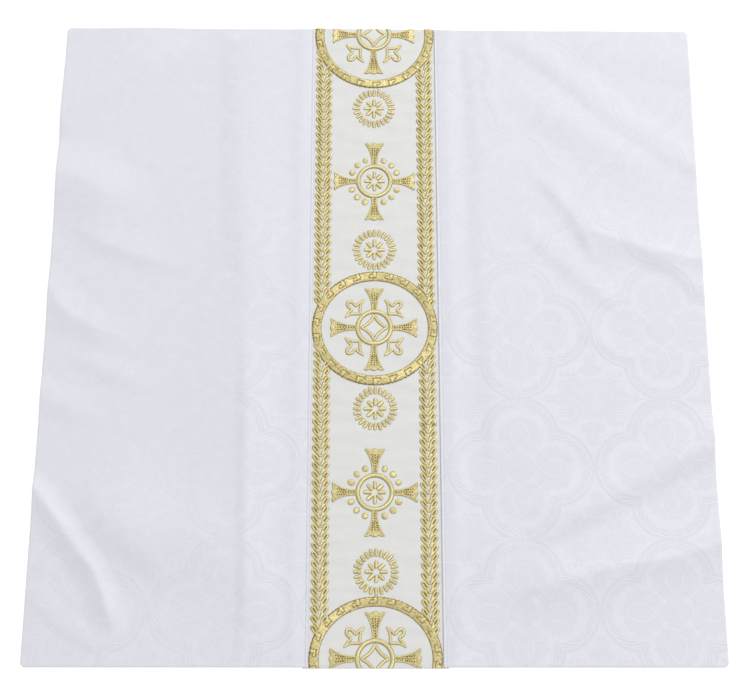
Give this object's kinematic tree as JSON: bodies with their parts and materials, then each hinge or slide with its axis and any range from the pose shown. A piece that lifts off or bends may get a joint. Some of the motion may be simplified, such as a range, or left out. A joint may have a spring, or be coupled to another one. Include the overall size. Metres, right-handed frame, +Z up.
{
  "type": "chalice veil",
  "caption": "Square chalice veil of white damask lying flat, with an ivory orphrey band embroidered in gold crosses, rings and leaf borders down the middle.",
  "frame": {"origin": "on the surface, under the middle of the veil's square", "axes": "+Z up out of the face of the cloth, +Y along the orphrey band to its far end, +X across the band to the right"},
  "size_m": [0.6, 0.602, 0.0048],
  "materials": {
    "white_damask": "jacquard damask with satin ground and figure, cool white",
    "ivory_satin": "fine ivory satin ground of the orphrey band",
    "gold_thread": "pale gold metallic embroidery thread, raised satin stitch"
  },
  "bodies": {
    "root": {"damask_panel_left": "white_damask", "damask_panel_right": "white_damask", "orphrey_band": "ivory_satin"}
  },
  "joints": []
}
